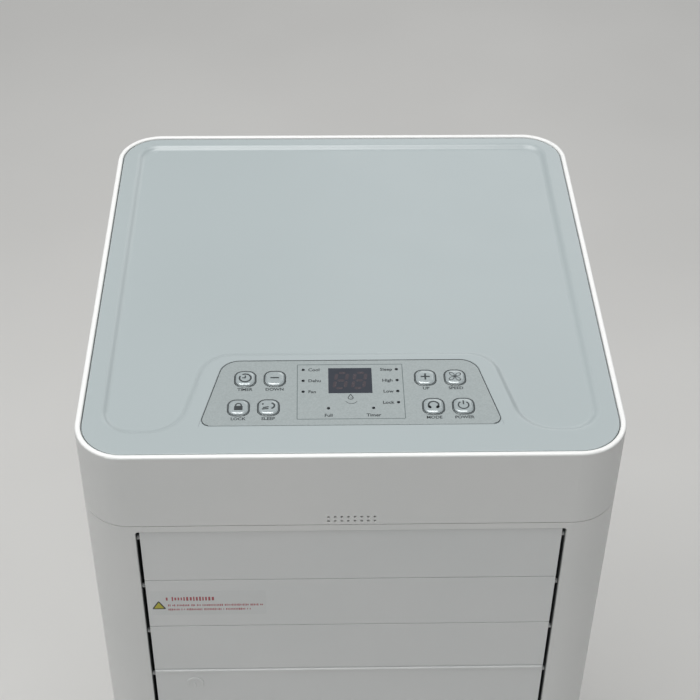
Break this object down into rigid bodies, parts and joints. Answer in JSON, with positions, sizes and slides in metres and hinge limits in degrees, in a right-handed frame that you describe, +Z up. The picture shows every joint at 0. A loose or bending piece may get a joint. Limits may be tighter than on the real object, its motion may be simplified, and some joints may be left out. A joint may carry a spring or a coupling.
{
  "type": "portable air conditioner with dehumidify mode",
  "caption": "Upright white portable air conditioner and dehumidifier with a top control panel, tilting front louvres, rear filter and exhaust port, on twin-wheel casters.",
  "frame": {"origin": "on the floor under the middle of the cabinet's footprint", "axes": "+X to the right seen from the front, +Y to the back (the louvres face -Y), +Z up"},
  "size_m": [0.325, 0.3375, 0.6801],
  "materials": {
    "cabinet_white": "satin",
    "top_plate_grey": "fine satin",
    "overlay_silver": "printed film",
    "key_silver": "domed film",
    "window_smoke": "smoked, glossy",
    "lamp_dark": "smoked",
    "duct_grey": "moulded",
    "blade_white": "satin",
    "link_grey": "moulded",
    "board_green": "solder mask",
    "switch_black": "moulded",
    "fin_aluminium": "fins",
    "copper_tube": "drawn copper",
    "compressor_black": "gloss black enamel",
    "rubber_black": "moulded",
    "motor_steel": "zinc plated",
    "fan_black": "moulded",
    "foam_grey": "moulded foam and sheet",
    "mesh_grey": "woven nylon",
    "caster_grey": "moulded nylon",
    "screw_steel": "zinc plated"
  },
  "bodies": {
    "cabinet": {"base_tray": "cabinet_white", "front_shell": "cabinet_white", "rear_shell": "cabinet_white", "top_cover": "cabinet_white", "top_plate": "top_plate_grey", "control_overlay": "overlay_silver", "display_window": "window_smoke", "display_module": "switch_black", "control_board": "board_green", "key_switches": "switch_black", "indicator_lenses": "lamp_dark", "outlet_duct": "duct_grey", "evaporator_coil": "fin_aluminium", "condenser_coil": "fin_aluminium", "compressor": "compressor_black", "compressor_grommets": "rubber_black", "refrigerant_pipes": "copper_tube", "partition_pan": "foam_grey", "upper_blower_housing": "foam_grey", "lower_blower_housing": "foam_grey", "upper_blower_motor": "motor_steel", "lower_blower_motor": "motor_steel", "exhaust_collar": "cabinet_white", "cord_gland": "rubber_black", "power_board": "board_green", "casing_screws": "screw_steel"},
    "caster_fork_front_left": {"caster_fork_front_left": "caster_grey"},
    "caster_wheels_front_left": {"caster_wheels_front_left": "caster_grey"},
    "caster_fork_front_right": {"caster_fork_front_right": "caster_grey"},
    "caster_wheels_front_right": {"caster_wheels_front_right": "caster_grey"},
    "caster_fork_rear_left": {"caster_fork_rear_left": "caster_grey"},
    "caster_wheels_rear_left": {"caster_wheels_rear_left": "caster_grey"},
    "caster_fork_rear_right": {"caster_fork_rear_right": "caster_grey"},
    "caster_wheels_rear_right": {"caster_wheels_rear_right": "caster_grey"},
    "button_timer": {"button_timer": "key_silver"},
    "button_down": {"button_down": "key_silver"},
    "button_lock": {"button_lock": "key_silver"},
    "button_sleep": {"button_sleep": "key_silver"},
    "button_up": {"button_up": "key_silver"},
    "button_speed": {"button_speed": "key_silver"},
    "button_mode": {"button_mode": "key_silver"},
    "button_power": {"button_power": "key_silver"},
    "louvre_blade_1": {"louvre_blade_1": "blade_white"},
    "louvre_blade_2": {"louvre_blade_2": "blade_white"},
    "louvre_blade_3": {"louvre_blade_3": "blade_white"},
    "louvre_blade_4": {"louvre_blade_4": "blade_white"},
    "louvre_blade_5": {"louvre_blade_5": "blade_white"},
    "louvre_blade_6": {"louvre_blade_6": "blade_white"},
    "louvre_link": {"louvre_link": "link_grey"},
    "airflow_vane_1": {"airflow_vane_1": "duct_grey"},
    "airflow_vane_2": {"airflow_vane_2": "duct_grey"},
    "airflow_vane_3": {"airflow_vane_3": "duct_grey"},
    "airflow_vane_4": {"airflow_vane_4": "duct_grey"},
    "vane_link": {"vane_link": "link_grey"},
    "upper_blower_wheel": {"upper_blower_wheel": "fan_black"},
    "lower_blower_wheel": {"lower_blower_wheel": "fan_black"},
    "air_filter": {"filter_frame": "cabinet_white", "filter_mesh": "mesh_grey"},
    "drain_plug": {"drain_plug": "rubber_black"},
    "water_level_float": {"water_level_float": "foam_grey"}
  },
  "joints": [
    {"name": "caster_swivel_front_left", "type": "hinge", "parent": "cabinet", "child": "caster_fork_front_left", "pos_m": [-0.1195, -0.1245, 0.044], "axis": [0, 0, 1], "continuous": true},
    {"name": "caster_roll_front_left", "type": "hinge", "parent": "caster_fork_front_left", "child": "caster_wheels_front_left", "pos_m": [-0.1195, -0.1135, 0.016], "axis": [1, 0, 0], "continuous": true},
    {"name": "caster_swivel_front_right", "type": "hinge", "parent": "cabinet", "child": "caster_fork_front_right", "pos_m": [0.1195, -0.1245, 0.044], "axis": [0, 0, 1], "continuous": true},
    {"name": "caster_roll_front_right", "type": "hinge", "parent": "caster_fork_front_right", "child": "caster_wheels_front_right", "pos_m": [0.1195, -0.1135, 0.016], "axis": [1, 0, 0], "continuous": true},
    {"name": "caster_swivel_rear_left", "type": "hinge", "parent": "cabinet", "child": "caster_fork_rear_left", "pos_m": [-0.1195, 0.1245, 0.044], "axis": [0, 0, 1], "continuous": true},
    {"name": "caster_roll_rear_left", "type": "hinge", "parent": "caster_fork_rear_left", "child": "caster_wheels_rear_left", "pos_m": [-0.1195, 0.1355, 0.016], "axis": [1, 0, 0], "continuous": true},
    {"name": "caster_swivel_rear_right", "type": "hinge", "parent": "cabinet", "child": "caster_fork_rear_right", "pos_m": [0.1195, 0.1245, 0.044], "axis": [0, 0, 1], "continuous": true},
    {"name": "caster_roll_rear_right", "type": "hinge", "parent": "caster_fork_rear_right", "child": "caster_wheels_rear_right", "pos_m": [0.1195, 0.1355, 0.016], "axis": [1, 0, 0], "continuous": true},
    {"name": "press_timer", "type": "slide", "parent": "cabinet", "child": "button_timer", "axis": [0, 0, -1], "range_m": [0, 0.00045], "stiffness_N_per_m": 800, "springref_m": -0.0005},
    {"name": "press_down", "type": "slide", "parent": "cabinet", "child": "button_down", "axis": [0, 0, -1], "range_m": [0, 0.00045], "stiffness_N_per_m": 800, "springref_m": -0.0005},
    {"name": "press_lock", "type": "slide", "parent": "cabinet", "child": "button_lock", "axis": [0, 0, -1], "range_m": [0, 0.00045], "stiffness_N_per_m": 800, "springref_m": -0.0005},
    {"name": "press_sleep", "type": "slide", "parent": "cabinet", "child": "button_sleep", "axis": [0, 0, -1], "range_m": [0, 0.00045], "stiffness_N_per_m": 800, "springref_m": -0.0005},
    {"name": "press_up", "type": "slide", "parent": "cabinet", "child": "button_up", "axis": [0, 0, -1], "range_m": [0, 0.00045], "stiffness_N_per_m": 800, "springref_m": -0.0005},
    {"name": "press_speed", "type": "slide", "parent": "cabinet", "child": "button_speed", "axis": [0, 0, -1], "range_m": [0, 0.00045], "stiffness_N_per_m": 800, "springref_m": -0.0005},
    {"name": "press_mode", "type": "slide", "parent": "cabinet", "child": "button_mode", "axis": [0, 0, -1], "range_m": [0, 0.00045], "stiffness_N_per_m": 800, "springref_m": -0.0005},
    {"name": "press_power", "type": "slide", "parent": "cabinet", "child": "button_power", "axis": [0, 0, -1], "range_m": [0, 0.00045], "stiffness_N_per_m": 800, "springref_m": -0.0005},
    {"name": "louvre_tilt_1", "type": "hinge", "parent": "cabinet", "child": "louvre_blade_1", "pos_m": [0, -0.1612, 0.6064], "axis": [-1, 0, 0], "range_deg": [0, 65]},
    {"name": "louvre_tilt_2", "type": "hinge", "parent": "cabinet", "child": "louvre_blade_2", "pos_m": [0, -0.1612, 0.5621], "axis": [-1, 0, 0], "range_deg": [0, 65]},
    {"name": "louvre_tilt_3", "type": "hinge", "parent": "cabinet", "child": "louvre_blade_3", "pos_m": [0, -0.1612, 0.5178], "axis": [-1, 0, 0], "range_deg": [0, 65]},
    {"name": "louvre_tilt_4", "type": "hinge", "parent": "cabinet", "child": "louvre_blade_4", "pos_m": [0, -0.1612, 0.4735], "axis": [-1, 0, 0], "range_deg": [0, 65]},
    {"name": "louvre_tilt_5", "type": "hinge", "parent": "cabinet", "child": "louvre_blade_5", "pos_m": [0, -0.1612, 0.4292], "axis": [-1, 0, 0], "range_deg": [0, 65]},
    {"name": "louvre_tilt_6", "type": "hinge", "parent": "cabinet", "child": "louvre_blade_6", "pos_m": [0, -0.1612, 0.3849], "axis": [-1, 0, 0], "range_deg": [0, 65]},
    {"name": "louvre_link_pivot", "type": "hinge", "parent": "louvre_blade_1", "child": "louvre_link", "pos_m": [-0.112, -0.1522, 0.6144], "axis": [-1, 0, 0], "range_deg": [-65, 0]},
    {"name": "vane_turn_1", "type": "hinge", "parent": "cabinet", "child": "airflow_vane_1", "pos_m": [-0.09, -0.128, 0.49], "axis": [0, 0, 1], "range_deg": [-40, 40]},
    {"name": "vane_turn_2", "type": "hinge", "parent": "cabinet", "child": "airflow_vane_2", "pos_m": [-0.03, -0.128, 0.49], "axis": [0, 0, 1], "range_deg": [-40, 40]},
    {"name": "vane_turn_3", "type": "hinge", "parent": "cabinet", "child": "airflow_vane_3", "pos_m": [0.03, -0.128, 0.49], "axis": [0, 0, 1], "range_deg": [-40, 40]},
    {"name": "vane_turn_4", "type": "hinge", "parent": "cabinet", "child": "airflow_vane_4", "pos_m": [0.09, -0.128, 0.49], "axis": [0, 0, 1], "range_deg": [-40, 40]},
    {"name": "vane_link_pivot", "type": "hinge", "parent": "airflow_vane_1", "child": "vane_link", "pos_m": [-0.09, -0.119, 0.357], "axis": [0, 0, 1], "range_deg": [-40, 40]},
    {"name": "upper_blower_spin", "type": "hinge", "parent": "cabinet", "child": "upper_blower_wheel", "pos_m": [0, 0, 0.455], "axis": [0, 1, 0], "continuous": true},
    {"name": "lower_blower_spin", "type": "hinge", "parent": "cabinet", "child": "lower_blower_wheel", "pos_m": [0, 0, 0.282], "axis": [0, 1, 0], "continuous": true},
    {"name": "filter_pull", "type": "slide", "parent": "cabinet", "child": "air_filter", "axis": [0, 1, 0], "range_m": [0, 0.03]},
    {"name": "drain_plug_pull", "type": "slide", "parent": "cabinet", "child": "drain_plug", "axis": [0, 1, 0], "range_m": [0, 0.02]},
    {"name": "float_rise", "type": "slide", "parent": "cabinet", "child": "water_level_float", "axis": [0, 0, 1], "range_m": [0, 0.014]}
  ],
  "couplings": [
    {"joint": "louvre_tilt_2", "follows": "louvre_tilt_1", "ratio": 1},
    {"joint": "louvre_tilt_3", "follows": "louvre_tilt_1", "ratio": 1},
    {"joint": "louvre_tilt_4", "follows": "louvre_tilt_1", "ratio": 1},
    {"joint": "louvre_tilt_5", "follows": "louvre_tilt_1", "ratio": 1},
    {"joint": "louvre_tilt_6", "follows": "louvre_tilt_1", "ratio": 1},
    {"joint": "louvre_link_pivot", "follows": "louvre_tilt_1", "ratio": -1},
    {"joint": "vane_turn_2", "follows": "vane_turn_1", "ratio": 1},
    {"joint": "vane_turn_3", "follows": "vane_turn_1", "ratio": 1},
    {"joint": "vane_turn_4", "follows": "vane_turn_1", "ratio": 1},
    {"joint": "vane_link_pivot", "follows": "vane_turn_1", "ratio": -1}
  ]
}
